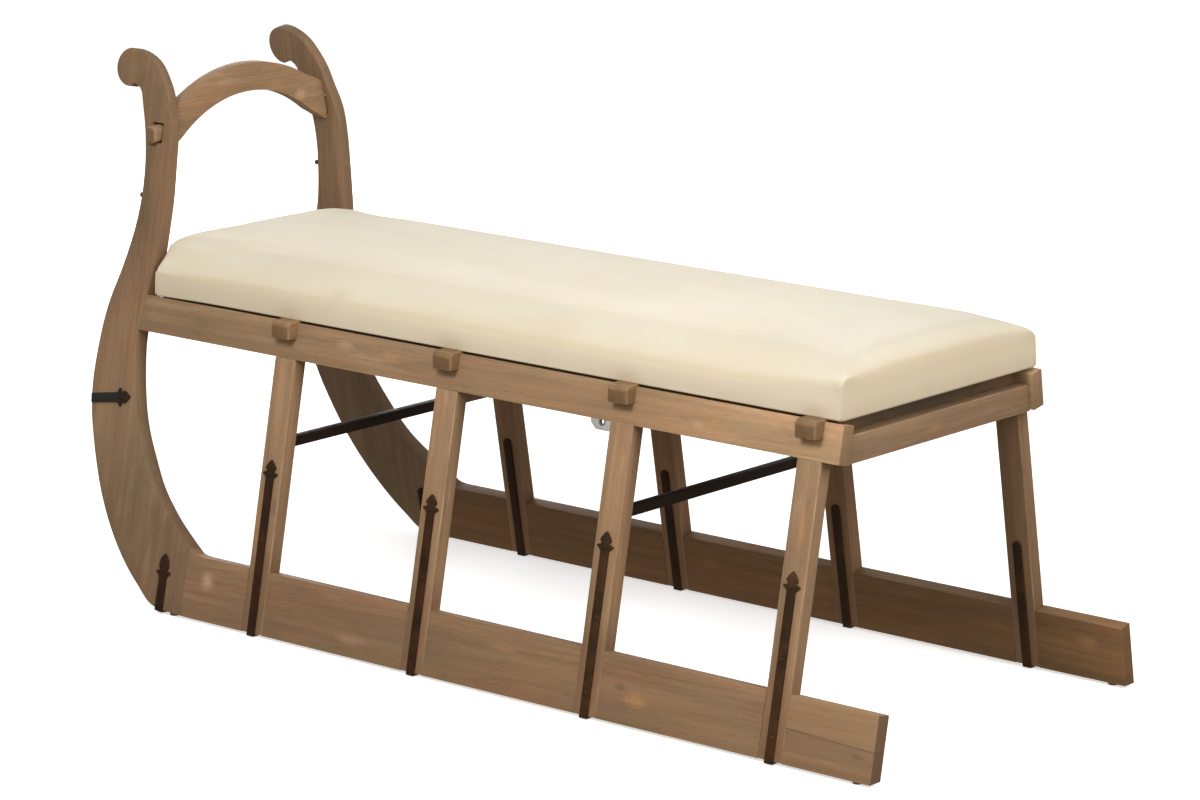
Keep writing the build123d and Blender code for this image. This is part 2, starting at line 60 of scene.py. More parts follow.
# ------------------------------------------------------------------
# node helpers
# ------------------------------------------------------------------
class Tree:
    def __init__(self, name):
        self.material = bpy.data.materials.new(name)
        self.material.use_nodes = True
        self.tree = self.material.node_tree
        self.shader = next(n for n in self.tree.nodes if n.type == "BSDF_PRINCIPLED")

    def node(self, kind, **settings):
        n = self.tree.nodes.new(kind)
        for key, value in settings.items():
            setattr(n, key, value)
        return n

    def put(self, socket, value):
        if isinstance(value, bpy.types.NodeSocket):
            self.tree.links.new(value, socket)
        elif value is not None:
            if hasattr(socket.default_value, "__len__") and not hasattr(value, "__len__"):
                value = [value] * len(socket.default_value)
            elif hasattr(value, "__len__") and len(socket.default_value) == 4 and len(value) == 3:
                value = list(value) + [1.0]
            socket.default_value = value

    def math(self, operation, a, b=None, c=None, clamp=False):
        n = self.node("ShaderNodeMath", operation=operation, use_clamp=clamp)
        for socket, value in zip(n.inputs, (a, b, c)):
            self.put(socket, value)
        return n.outputs[0]

    def vector(self, operation, a, b=None):
        n = self.node("ShaderNodeVectorMath", operation=operation)
        self.put(n.inputs[0], a)
        if b is not None:
            self.put(n.inputs[1], b)
        return n.outputs["Value"] if operation in ("LENGTH", "DOT_PRODUCT", "DISTANCE") else n.outputs[0]

    def noise(self, vector, scale, detail=2.0, roughness=0.5, distortion=0.0):
        n = self.node("ShaderNodeTexNoise", noise_dimensions="3D")
        self.put(n.inputs["Vector"], vector)
        self.put(n.inputs["Scale"], scale)
        self.put(n.inputs["Detail"], detail)
        self.put(n.inputs["Roughness"], roughness)
        self.put(n.inputs["Distortion"], distortion)
        return n.outputs["Fac"]

    def span(self, value, low, high, to_low=0.0, to_high=1.0, smooth=True):
        n = self.node("ShaderNodeMapRange", interpolation_type="SMOOTHSTEP" if smooth else "LINEAR", clamp=True)
        for socket, v in zip(n.inputs, (value, low, high, to_low, to_high)):
            self.put(socket, v)
        return n.outputs[0]

    def mix(self, factor, a, b, blend="MIX"):
        n = self.node("ShaderNodeMix", data_type="RGBA", blend_type=blend)
        self.put(n.inputs[0], factor)
        self.put(n.inputs[6], a)
        self.put(n.inputs[7], b)
        return n.outputs[2]

    def bump(self, height, distance, strength=1.0, normal=None):
        n = self.node("ShaderNodeBump")
        self.put(n.inputs["Height"], height)
        self.put(n.inputs["Distance"], distance)
        self.put(n.inputs["Strength"], strength)
        if normal is not None:
            self.put(n.inputs["Normal"], normal)
        return n.outputs[0]

    def combine(self, x, y, z):
        n = self.node("ShaderNodeCombineXYZ")
        for socket, value in zip(n.inputs, (x, y, z)):
            self.put(socket, value)
        return n.outputs[0]

    def separate(self, vector):
        n = self.node("ShaderNodeSeparateXYZ")
        self.put(n.inputs[0], vector)
        return n.outputs[0], n.outputs[1], n.outputs[2]

    def local(self, axes, origin):
        """Object coordinates turned into the piece's own along, across and through."""
        turn = Matrix([list(a) for a in axes])
        n = self.node("ShaderNodeMapping", vector_type="POINT")
        self.put(n.inputs["Vector"], self.node("ShaderNodeTexCoord").outputs["Object"])
        n.inputs["Rotation"].default_value = turn.to_euler("XYZ")
        n.inputs["Location"].default_value = -(turn @ origin)
        return n.outputs[0]


def scaled(t, vector, sx, sy, sz, seed):
    n = t.node("ShaderNodeVectorMath", operation="MULTIPLY_ADD")
    t.put(n.inputs[0], vector)
    t.put(n.inputs[1], (sx, sy, sz))
    t.put(n.inputs[2], (seed * 3.17, seed * 7.31 + 1.3, seed * 1.93 - 2.1))
    return n.outputs[0]


# ------------------------------------------------------------------
# stained, worn softwood
# ------------------------------------------------------------------
def wood(name, axes, origin, seed, tone=(1.0, 1.0, 1.0), heart=(0.03, -0.06), ring=0.0052,
         knots=(), seam=None, contrast=1.0, foot=None, end=0.55, brighter_stretch=None):
    """axes: grain direction, across, through. heart: where the tree's middle lies, across and
    through. knots: (along, across, radius along, radius across, colour, strength) rows.
    seam: height of a glue line, where along the board it stops, and the colour above it.
    foot: height along a leg of its shoulder, towards which the leg turns darker. end: how dark cut ends are.
    brighter_stretch: where along the board it starts and has finished turning brighter, by how much, and
    where that ends again; on the runner and the seat rails this is painted light, brighter towards the rear."""
    t = Tree(name)
    p = t.local(axes, origin)
    along, across, through = t.separate(p)

    # slow wander of the fibres, pushed aside round the knots
    drift = t.noise(scaled(t, p, 1.4, 7.0, 7.0, seed), 1.0, 2.0, 0.5)
    drift2 = t.noise(scaled(t, p, 1.1, 5.0, 5.0, seed + 4.7), 1.0, 2.0, 0.5)
    y = t.math("MULTIPLY_ADD", t.math("SUBTRACT", drift, 0.5), 0.030, across)
    z = t.math("MULTIPLY_ADD", t.math("SUBTRACT", drift2, 0.5), 0.030, through)
    masks = []
    for ka, kc, ra, rc, colour, strength in knots:
        da = t.math("DIVIDE", t.math("SUBTRACT", along, ka), ra)
        dc = t.math("DIVIDE", t.math("SUBTRACT", across, kc), rc)
        d = t.math("SQRT", t.math("MULTIPLY_ADD", da, da, t.math("MULTIPLY", dc, dc)))
        rough = t.math("MULTIPLY_ADD", t.noise(scaled(t, p, 40, 60, 60, seed + ka), 1.0, 3.0), 0.7, t.math("SUBTRACT", d, 0.35))
        mask = t.span(rough, 1.0, 0.15)
        masks.append((mask, d, colour, strength))
        y = t.math("MULTIPLY_ADD", t.math("MULTIPLY", mask, dc), -0.45 * rc, y)

    # growth rings
    cy = t.math("SUBTRACT", y, heart[0])
    cz = t.math("SUBTRACT", z, heart[1])
    cy = t.math("MULTIPLY_ADD", along, 0.018, cy)
    radius = t.math("SQRT", t.math("MULTIPLY_ADD", cy, cy, t.math("MULTIPLY", cz, cz)))
    turns = t.math("DIVIDE", radius, ring)
    phase = t.math("FRACT", turns)
    late = t.math("POWER", phase, 3.0)
    late = t.math("MULTIPLY", late, t.span(phase, 1.0, 0.93))
    year = t.noise(t.combine(t.math("FLOOR", turns), seed, 0.0), 1.7, 0.0)

    # streaks, fibres and pores, all drawn out along the grain
    grain = t.combine(along, y, z)
    streak = t.noise(scaled(t, grain, 2.2, 95.0, 95.0, seed + 1.1), 1.0, 3.0, 0.6)
    fine = t.noise(scaled(t, grain, 9.0, 520.0, 520.0, seed + 2.3), 1.0, 3.0, 0.65)
    pores = t.span(t.noise(scaled(t, grain, 55.0, 1500.0, 1500.0, seed + 5.9), 1.0, 1.0), 0.63, 0.72)
    patch = t.noise(scaled(t, p, 3.2, 15.0, 15.0, seed + 8.2), 1.0, 3.0, 0.55)
    cloud = t.noise(scaled(t, p, 6.0, 17.0, 17.0, seed + 6.6), 1.0, 2.0, 0.5)
    blush = t.noise(scaled(t, p, 4.0, 22.0, 22.0, seed + 11.4), 1.0, 2.0, 0.5)

    def tinted(colour):
        return tuple(c * k for c, k in zip(colour, tone))

    wash = t.noise(scaled(t, p, 2.4, 26.0, 26.0, seed + 13.8), 1.0, 2.0, 0.55)
    scuff = t.noise(scaled(t, p, 9.0, 38.0, 38.0, seed + 16.3), 1.0, 3.0, 0.6)
    colour = t.mix(t.span(patch, 0.32, 0.68), tinted((0.262, 0.176, 0.104)), tinted((0.352, 0.228, 0.130)))
    colour = t.mix(t.math("MULTIPLY", t.span(cloud, 0.46, 0.72), 0.60), colour, tinted((0.246, 0.190, 0.117)))
    colour = t.mix(t.math("MULTIPLY", t.span(blush, 0.50, 0.72), 0.60), colour, tinted((0.372, 0.212, 0.122)))
    colour = t.mix(t.math("MULTIPLY", t.span(wash, 0.54, 0.74), 0.45), colour, tinted((0.188, 0.147, 0.092)))
    colour = t.mix(t.math("MULTIPLY", t.span(scuff, 0.58, 0.78), 0.40), colour, tinted((0.440, 0.312, 0.198)))
    colour = t.mix(t.math("MULTIPLY", t.span(streak, 0.60, 0.36), 0.30 * contrast), colour, tinted((0.176, 0.112, 0.064)))
    colour = t.mix(t.math("MULTIPLY", t.span(streak, 0.60, 0.80), 0.30 * contrast), colour, tinted((0.440, 0.300, 0.180)))
    colour = t.mix(t.math("MULTIPLY", late, t.math("MULTIPLY_ADD", year, 0.26 * contrast, 0.10)), colour, tinted((0.160, 0.092, 0.050)))
    colour = t.mix(t.math("MULTIPLY", t.span(fine, 0.62, 0.36), 0.16), colour, tinted((0.176, 0.110, 0.066)))
    colour = t.mix(t.math("MULTIPLY", pores, 0.30), colour, tinted((0.120, 0.074, 0.044)))
    # painted light: a stretch of the board is made brighter; on the runner and the seat rails it stands in for the
    # stronger light towards the rear
    if brighter_stretch is not None:
        start, full, gain = brighter_stretch[:3]
        share = t.span(along, start, full)
        if len(brighter_stretch) > 3:
            share = t.math("MULTIPLY", share, t.span(along, brighter_stretch[4], brighter_stretch[3]))
        brightened = t.node("ShaderNodeVectorMath", operation="SCALE")
        t.put(brightened.inputs[0], colour)
        t.put(brightened.inputs["Scale"], t.math("MULTIPLY_ADD", share, gain, 1.0))
        colour = brightened.outputs[0]
    if seam is not None:
        level, until, lift = seam
        height_over = t.math("SUBTRACT", across, t.math("MULTIPLY_ADD", along, 0.035, level + 0.001))
        reach = t.span(along, until + 0.004, until - 0.004)
        upper = t.span(height_over, -0.0007, 0.0007)
        colour = t.mix(t.math("MULTIPLY", t.math("MULTIPLY", upper, reach), 0.50), colour, tinted(lift))
        glue = t.span(t.math("ABSOLUTE", height_over), 0.0013, 0.0003, 0.0, 0.50)
        colour = t.mix(t.math("MULTIPLY", glue, reach), colour, tinted((0.130, 0.080, 0.045)))
    for mask, d, knot_colour, strength in masks:
        whorl = t.math("SINE", t.math("MULTIPLY", d, 17.0))
        body = t.mix(t.span(whorl, -0.4, 0.9, 0.0, 0.35), knot_colour, tuple(c * 0.62 for c in knot_colour))
        colour = t.mix(t.math("MULTIPLY", mask, strength), colour, body)

    # cut ends are darker, edges are rubbed lighter
    geometry = t.node("ShaderNodeNewGeometry")
    facing = t.math("ABSOLUTE", t.vector("DOT_PRODUCT", geometry.outputs["Normal"], tuple(axes[0])))
    colour = t.mix(t.span(facing, 0.80, 0.97, 0.0, end), colour, tinted((0.160, 0.102, 0.060)))
    # the leg turns darker towards the shoulder of its foot, broken up by the cloud noise
    if foot is not None:
        darker_foot = t.math("MULTIPLY", t.span(along, foot + 0.030, foot - 0.012), t.span(cloud, 0.30, 0.65, 0.45, 1.0))
        colour = t.mix(t.math("MULTIPLY", darker_foot, 0.50), colour, tinted((0.170, 0.088, 0.048)))
    edge = t.node("ShaderNodeAttribute", attribute_name="edge").outputs["Fac"]
    rub = t.noise(scaled(t, p, 14.0, 60.0, 60.0, seed + 9.1), 1.0, 3.0, 0.6)
    colour = t.mix(t.math("MULTIPLY", edge, t.span(rub, 0.40, 0.66, 0.08, 0.50)), colour, tinted((0.480, 0.345, 0.220)))

    t.put(t.shader.inputs["Base Color"], colour)
    t.put(t.shader.inputs["Roughness"], t.math("MULTIPLY_ADD", fine, -0.22, t.math("MULTIPLY_ADD", patch, 0.20, 0.62)))
    t.shader.inputs["Specular IOR Level"].default_value = 0.32
    height = t.math("MULTIPLY_ADD", late, -0.55, t.math("MULTIPLY_ADD", fine, 0.45, t.math("MULTIPLY", pores, -0.6)))
    height = t.math("ADD", height, t.math("MULTIPLY", streak, 0.8))
    t.put(t.shader.inputs["Normal"], t.bump(height, 0.00035, 0.8))
    return t.material


# ------------------------------------------------------------------
# forged and blackened iron
# ------------------------------------------------------------------
def iron(name, seed, dark=(0.029, 0.013, 0.005), rust=(0.066, 0.027, 0.010), amount=0.8, rough=0.60, grey=None):
    t = Tree(name)
    p = t.node("ShaderNodeTexCoord").outputs["Object"]
    broad = t.noise(scaled(t, p, 22, 22, 22, seed), 1.0, 3.0, 0.55)
    spots = t.noise(scaled(t, p, 160, 160, 160, seed + 3), 1.0, 3.0, 0.6)
    dents = t.noise(scaled(t, p, 75, 75, 75, seed + 6), 1.0, 1.5, 0.4)
    pits = t.span(t.noise(scaled(t, p, 420, 420, 420, seed + 9), 1.0, 2.0, 0.5), 0.60, 0.72)
    colour = t.mix(t.math("MULTIPLY", t.span(broad, 0.38, 0.66), amount), dark, rust)
    colour = t.mix(t.math("MULTIPLY", t.span(spots, 0.55, 0.75), 0.45 * amount), colour, tuple(c * 1.5 for c in rust))
    colour = t.mix(t.math("MULTIPLY", pits, 0.5), colour, (0.010, 0.008, 0.007))
    if grey is not None:
        # the arm is rubbed to bare grey iron, the arrow head kept its brown
        bare = t.span(t.separate(p)[0], U_SHIFT + grey - 0.006, U_SHIFT + grey + 0.006)
        colour = t.mix(t.math("MULTIPLY", bare, t.span(broad, 0.2, 0.7, 1.0, 0.7)), colour, (0.020, 0.023, 0.021))
    edge = t.node("ShaderNodeAttribute", attribute_name="edge").outputs["Fac"]
    colour = t.mix(t.math("MULTIPLY", edge, t.span(spots, 0.42, 0.66, 0.05, 0.35)), colour, (0.085, 0.048, 0.028))
    t.put(t.shader.inputs["Base Color"], colour)
    t.shader.inputs["Metallic"].default_value = 0.05
    t.shader.inputs["Specular IOR Level"].default_value = 0.20
    t.put(t.shader.inputs["Roughness"], t.math("MULTIPLY_ADD", broad, 0.25, rough - 0.08))
    height = t.math("MULTIPLY_ADD", pits, -0.35, t.math("MULTIPLY_ADD", dents, 1.2, t.math("MULTIPLY", spots, 0.3)))
    t.put(t.shader.inputs["Normal"], t.bump(height, 0.0006, 0.8))
    return t.material


def pale_metal(name):
    t = Tree(name)
    p = t.node("ShaderNodeTexCoord").outputs["Object"]
    broad = t.noise(scaled(t, p, 60, 60, 60, 2), 1.0, 3.0, 0.6)
    fine = t.noise(scaled(t, p, 400, 90, 400, 5), 1.0, 2.0, 0.6)
    colour = t.mix(t.span(broad, 0.4, 0.7), (0.66, 0.64, 0.65), (0.50, 0.48, 0.48))
    colour = t.mix(t.math("MULTIPLY", t.span(fine, 0.58, 0.7), 0.4), colour, (0.22, 0.20, 0.18))
    # painted shade: darker round the hole, standing in for the shadow in its countersink
    off = t.node("ShaderNodeVectorMath", operation="DISTANCE")
    fold = t.node("ShaderNodeVectorMath", operation="ABSOLUTE")
    t.put(fold.inputs[0], p)
    t.put(off.inputs[0], fold.outputs[0])
    off.inputs[1].default_value = (0.22925, 0.22607, 0.37953)
    colour = t.mix(t.span(off.outputs["Value"], 0.0075, 0.0045, 0.0, 0.85), colour, (0.060, 0.050, 0.045))
    t.put(t.shader.inputs["Base Color"], colour)
    t.shader.inputs["Metallic"].default_value = 0.6
    t.put(t.shader.inputs["Roughness"], t.math("MULTIPLY_ADD", fine, 0.25, 0.32))
    t.put(t.shader.inputs["Normal"], t.bump(fine, 0.0002, 0.6))
    return t.material


def brown_pad(name):
    t = Tree(name)
    p = t.node("ShaderNodeTexCoord").outputs["Object"]
    fuzz = t.noise(scaled(t, p, 900, 900, 900, 1), 1.0, 3.0, 0.7)
    colour = t.mix(t.span(fuzz, 0.35, 0.7), (0.190, 0.130, 0.085), (0.340, 0.250, 0.170))
    t.put(t.shader.inputs["Base Color"], colour)
    t.shader.inputs["Roughness"].default_value = 0.9
    t.put(t.shader.inputs["Normal"], t.bump(fuzz, 0.0006, 0.7))
    return t.material


# ------------------------------------------------------------------
# plain unbleached cotton
# ------------------------------------------------------------------
def cotton(name):
    t = Tree(name)
    p = t.node("ShaderNodeTexCoord").outputs["Object"]
    x, y, z = t.separate(p)
    n = t.node("ShaderNodeNewGeometry").outputs["Normal"]
    nx, ny, nz = (t.math("ABSOLUTE", c) for c in t.separate(n))
    top = t.span(nz, 0.55, 0.80)
    ends = t.math("MULTIPLY", t.span(nx, 0.55, 0.80), t.math("SUBTRACT", 1.0, top))
    # warp and weft in the plane of each face, thread pitch 0.9 mm with uneven yarn
    slub = t.noise(scaled(t, p, 30, 700, 700, 3), 1.0, 2.0, 0.6)
    slub2 = t.noise(scaled(t, p, 700, 30, 700, 4), 1.0, 2.0, 0.6)
    wobble = t.noise(scaled(t, p, 25, 25, 25, 7), 1.0, 1.0)
    pitch = 2 * math.pi / 0.0009

    def threads(c, shift):
        return t.math("SINE", t.math("MULTIPLY_ADD", c, pitch, t.math("MULTIPLY", shift, 3.0)))

    tx, ty, tz = threads(x, wobble), threads(y, wobble), threads(z, wobble)
    weave_top = t.math("MULTIPLY", tx, ty)
    weave_side = t.math("MULTIPLY", tx, tz)
    weave_end = t.math("MULTIPLY", ty, tz)

    def choose(f, a, b):
        return t.math("ADD", t.math("MULTIPLY", t.math("SUBTRACT", 1.0, f), a), t.math("MULTIPLY", f, b))

    weave = choose(top, choose(ends, weave_side, weave_end), weave_top)
    yarn = t.math("MULTIPLY", t.math("ADD", slub, slub2), 0.5)
    mottled = t.noise(scaled(t, p, 5, 9, 9, 2), 1.0, 3.0, 0.55)
    cloud = t.noise(scaled(t, p, 16, 16, 30, 9), 1.0, 2.0, 0.5)
    colour = t.mix(t.span(mottled, 0.35, 0.68), (0.735, 0.675, 0.560), (0.770, 0.718, 0.610))
    colour = t.mix(t.math("MULTIPLY", t.span(cloud, 0.52, 0.75), 0.35), colour, (0.750, 0.670, 0.525))
    colour = t.mix(t.math("MULTIPLY", t.span(yarn, 0.60, 0.40), 0.25), colour, (0.690, 0.620, 0.500))
    # painted shade: the sides, by their facing, are given a creamier, darker colour than the top, standing in for the
    # dimmer, warmer light they get
    side = t.math("SUBTRACT", 1.0, t.span(nz, 0.30, 0.93))
    colour = t.mix(t.math("MULTIPLY", side, 0.70), colour, (0.765, 0.655, 0.475))
    # painted shade: where the top turns down, its facing makes it greyer and darker
    shoulder = t.math("MULTIPLY", t.span(nz, 0.996, 0.940), t.span(nz, 0.08, 0.45))
    colour = t.mix(shoulder, colour, (0.890, 0.872, 0.835), "MULTIPLY")
    # painted shade: the sides towards the front, the top towards the rear and the two ends are darkened by their facing
    # and place
    flank = t.math("SUBTRACT", 1.0, t.span(nz, 0.25, 0.60))
    colour = t.mix(t.math("MULTIPLY", flank, t.span(x, 0.05, 0.50)), colour, (0.905, 0.895, 0.880), "MULTIPLY")
    colour = t.mix(t.math("MULTIPLY", t.span(x, -0.25, -0.62), t.span(nz, 0.90, 0.99)), colour, (0.915, 0.925, 0.935), "MULTIPLY")
    colour = t.mix(t.math("MULTIPLY", ends, flank), colour, (0.960, 0.935, 0.900), "MULTIPLY")
    # darker towards the lower edge, broken up by the cloud noise
    low = t.math("MULTIPLY", t.span(z, 0.462, 0.434), t.span(cloud, 0.30, 0.70, 0.25, 0.8))
    colour = t.mix(t.math("MULTIPLY", low, 0.40), colour, (0.560, 0.455, 0.320))
    # painted shade just above the bearer ends, and two darker marks on the left side
    mark = t.node("ShaderNodeAttribute", attribute_name="shade_and_marks").outputs["Fac"]
    colour = t.mix(t.math("MULTIPLY", mark, 0.55), colour, (0.500, 0.390, 0.260))
    t.put(t.shader.inputs["Base Color"], colour)
    t.shader.inputs["Roughness"].default_value = 0.92
    t.shader.inputs["Specular IOR Level"].default_value = 0.15
    t.shader.inputs["Sheen Weight"].default_value = 0.18
    t.shader.inputs["Sheen Roughness"].default_value = 0.5
    t.shader.inputs["Sheen Tint"].default_value = (1.0, 0.97, 0.90, 1.0)
    height = t.math("MULTIPLY_ADD", yarn, 0.8, t.math("MULTIPLY", weave, 0.35))
    t.put(t.shader.inputs["Normal"], t.bump(height, 0.00022, 0.55))
    return t.material


# ------------------------------------------------------------------
# the side frames' slight bow: the curled uprights come in a little at
# knee height and thin towards the scroll, like boards that were steamed
# and planed by hand; every point is given in board coordinates
# ------------------------------------------------------------------
BOW = ((0.0, 0.0), (0.060, 0.0), (0.150, 0.004), (0.250, 0.008), (0.320, 0.008),
       (0.400, 0.006), (0.500, 0.0025), (0.600, 0.0), (1.0, 0.0))


def ease(value, low, high):
    k = min(max((value - low) / (high - low), 0.0), 1.0)
    return k * k * (3 - 2 * k)


def line(table, value, column=1):
    for a, b in zip(table[:-1], table[1:]):
        if value <= b[0]:
            k = max((value - a[0]) / (b[0] - a[0]), 0.0)
            return a[column] + k * (b[column] - a[column])
    return table[-1][column]


def smooth_line(table, value):
    return sum(line(table, value + d) for d in (-0.030, -0.015, 0.0, 0.015, 0.030)) / 5


INNER_EDGE = ((0.0885, 0.985), (0.0960, 1.018), (0.1044, 1.030), (0.1225, 1.0526), (0.1422, 1.0741),
              (0.1587, 1.0901), (0.2500, 1.135))


def toe(u, v):
    """Where a point near the toe goes: the sole is a little fuller under the strap, and the
    inner edge runs straighter into a tighter corner on the runner."""
    full = ease(u, 1.040, 1.075) * (1.0 - ease(u, 1.080, 1.110)) * (1.0 - ease(v, 0.012, 0.045))
    near = 1.0 - ease(u - line(INNER_EDGE, v), 0.002, 0.016)
    inner = (0.0036 * near * ease(u, 0.975, 0.990) * ease(v, 0.0875, 0.0935)
             * (1.0 - 0.5 * ease(v, 0.105, 0.135)) * (1.0 - ease(v, 0.150, 0.230)))
    return u + 0.0012 * full - inner, v - 0.0024 * full


def toed(side):
    eu, ev, ew, at = board_axes(side)

    def shape(co):
        u, v, w = (co - at).dot(eu), (co - at).dot(ev), (co - at).dot(ew)
        u, v = toe(u, v)
        return at + eu * u + ev * v + ew * w

    return shape


def bowed(side, thin=True):
    eu, ev, ew, at = board_axes(side)

    def shape(co):
        u, v, w = (co - at).dot(eu), (co - at).dot(ev), (co - at).dot(ew)
        u, v = toe(u, v)
        shift = smooth_line(BOW, v) * ease(u, 1.020, 1.090)
        shift -= 0.0016 * ease(v, 0.560, 0.640) + 0.032 * (u - 1.150) * ease(v, 0.660, 0.740)
        if thin and 0.0 < w:
            w *= 1.0 - 0.26 * ease(v, 0.540, 0.700)
        if side < 0:
            # the right upright was left a little wider behind and stands out above the seat
            flare = ease(v, 0.400, 0.520) * (1.0 - ease(v, 0.655, 0.710))
            w -= 0.0026 * flare
            u -= 0.0030 * flare * (1.0 - ease(u, 1.135, 1.175))
        p = at + eu * u + ev * v + ew * w
        return p + Vector((0.818 * shift, -side * shift, 0)) - ev * (0.29 * shift)

    return shape


def above_floor(co):
    return Vector((co.x, co.y, max(co.z, 0.0003)))


def hugging(side):
    """The brow strap beaten tight round the front edge of its upright."""
    eu, ev, ew, at = board_axes(side)
    follow = bowed(side)

    def shape(co):
        u = (co - at).dot(eu)
        return follow(co - eu * (0.0028 * ease(u, 1.215, 1.240)))

    return shape


def tucked(co):
    """The brackets sit a little higher and closer to the leg than drawn."""
    return co + Vector((-0.0050, 0, 0.0035))


def shouldered(co):
    """Carries the arch's shoulders out to the bowed, thinned uprights and a little into them."""
    side = 1 if co.y > 0 else -1
    eu, ev, ew, at = board_axes(side)
    u, v, w = (co - at).dot(eu), (co - at).dot(ev), (co - at).dot(ew)
    if w < 0.0212:
        return co
    face = at + eu * u + ev * v + ew * 0.0220
    fade = 1.0 - min(max((w - 0.0225) / 0.020, 0.0), 1.0)
    return co + (bowed(side)(face) - face - ew * 0.0012) * fade


# ------------------------------------------------------------------
# pieces from the frame's nodes, with worn round edges
# ------------------------------------------------------------------
def softened(node, suffix, width, material, segments=2, limit=28.0, concave=False,
             cuts=(), shape=None, extra=None, joint=None):
    """cuts: (direction, start point, first, last, count) rows of evenly spaced slices.
    joint: (point, direction) of a plane whose edges stay sharp, where two boards meet flush."""
    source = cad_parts[node]
    bm = bmesh.new()
    bm.from_mesh(source.data)
    bmesh.ops.remove_doubles(bm, verts=bm.verts, dist=1e-6)
    bmesh.ops.dissolve_limit(bm, angle_limit=math.radians(0.6), verts=bm.verts, edges=bm.edges)
    bmesh.ops.recalc_face_normals(bm, faces=bm.faces)
    for direction, start, first, last, count in cuts:
        for i in range(count):
            where = start + direction * (first + (last - first) * i / max(count - 1, 1))
            bmesh.ops.bisect_plane(bm, geom=bm.verts[:] + bm.edges[:] + bm.faces[:], dist=1e-6,
                                   plane_co=where, plane_no=direction)
    sharp = [e for e in bm.edges if len(e.link_faces) == 2 and e.calc_face_angle(0) > math.radians(limit)
             and (concave or e.is_convex)]
    if joint is not None:
        sharp = [e for e in sharp if any(abs((v.co - joint[0]).dot(joint[1])) > 0.0003 for v in e.verts)]
    result = bmesh.ops.bevel(bm, geom=sharp, offset=width, offset_type="OFFSET", segments=segments,
                             profile=0.5, affect="EDGES", clamp_overlap=True, miter_outer="ARC")
    mark = bm.loops.layers.float.new("edge")
    for face in result["faces"]:
        if face.is_valid:
            for loop in face.loops:
                loop[mark] = 1.0
    if extra is not None:
        extra(bm)
    if shape is not None:
        for v in bm.verts:
            v.co = shape(v.co)
        bmesh.ops.triangulate(bm, faces=[f for f in bm.faces if len(f.verts) > 4])
    for face in bm.faces:
        face.smooth = True
    mesh = bpy.data.meshes.new(node + suffix)
    bm.to_mesh(mesh)
    bm.free()
    mesh.materials.clear()
    mesh.materials.append(material)
    piece = bpy.data.objects.new(node + suffix, mesh)
    bpy.context.scene.collection.objects.link(piece)
    smooth_by_angle(piece, 40.0)
    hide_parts(node)
    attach(piece, "root")
    return piece


def smooth_by_angle(piece, degrees):
    mesh = piece.data
    bm = bmesh.new()
    bm.from_mesh(mesh)
    for e in bm.edges:
        e.smooth = len(e.link_faces) == 2 and e.calc_face_angle(0) < math.radians(degrees)
    bm.to_mesh(mesh)
    bm.free()


def nails(heads):
    """Low round heads, sunk a little into the strap: (middle, outward direction, radius) rows."""
    def build(bm):
        for middle, out, radius in heads:
            a = out.orthogonal().normalized()
            b = out.cross(a)
            profile = ((1.00, -0.0004), (0.96, 0.0003), (0.78, 0.0008), (0.42, 0.0011))
            rings = [[bm.verts.new(middle + out * h + (a * math.cos(q) + b * math.sin(q)) * (radius * r))
                      for q in (2 * math.pi * k / 12 for k in range(12))] for r, h in profile]
            for low, high in zip(rings[:-1], rings[1:]):
                for k in range(12):
                    bm.faces.new((low[k], low[(k + 1) % 12], high[(k + 1) % 12], high[k]))
            bm.faces.new(rings[-1])
            bm.faces.new(rings[0][::-1])
    return build


X, Y, Z = Vector((1, 0, 0)), Vector((0, 1, 0)), Vector((0, 0, 1))
nodes = sorted(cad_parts)

PALE = (0.560, 0.350, 0.215)
ORANGE = (0.500, 0.262, 0.110)
RUST = (0.330, 0.165, 0.075)
SMUDGE = (0.150, 0.095, 0.055)
LEFT_RUNNER_KNOTS = (
    # along, across, radius along, radius across, colour, strength
    (0.975, 0.057, 0.019, 0.017, PALE, 0.80),
    (0.205, 0.035, 0.024, 0.015, ORANGE, 0.60),
    (0.232, 0.047, 0.016, 0.008, SMUDGE, 0.55),
    (-0.152, 0.031, 0.016, 0.005, SMUDGE, 0.60),
    (0.430, 0.062, 0.030, 0.010, ORANGE, 0.30),
    (0.700, 0.024, 0.034, 0.010, PALE, 0.30),
)
LEFT_RAIL_KNOTS = (
    (0.133, 0.408, 0.020, 0.013, ORANGE, 0.60),
    (0.160, 0.402, 0.014, 0.007, PALE, 0.70),
    (0.776, 0.417, 0.022, 0.010, PALE, 0.45),
    (0.690, 0.412, 0.030, 0.012, ORANGE, 0.40),
)
RIGHT_RUNNER_KNOTS = ((0.520, 0.050, 0.022, 0.015, RUST, 0.55), (-0.120, 0.045, 0.026, 0.013, ORANGE, 0.35))
ARCH_KNOTS = ((-0.111, 0.679, 0.020, 0.012, PALE, 0.65), (-0.060, 0.700, 0.024, 0.010, ORANGE, 0.35))
LEG_FRONTS = {1: 0.900, 2: 0.605, 3: 0.303, 4: 0.0}
LEG_KNOTS = {
    ("left", 4): ((0.300, -0.021, 0.042, 0.007, (0.470, 0.230, 0.085), 0.75),),
    ("left", 3): ((0.335, 0.275, 0.020, 0.006, ORANGE, 0.35), (0.140, 0.290, 0.030, 0.006, RUST, 0.40)),
    ("left", 2): ((0.225, 0.600, 0.040, 0.006, RUST, 0.45),),
    ("left", 1): ((0.180, 0.868, 0.016, 0.006, SMUDGE, 0.50),),
}
TILT = math.radians(8.5)

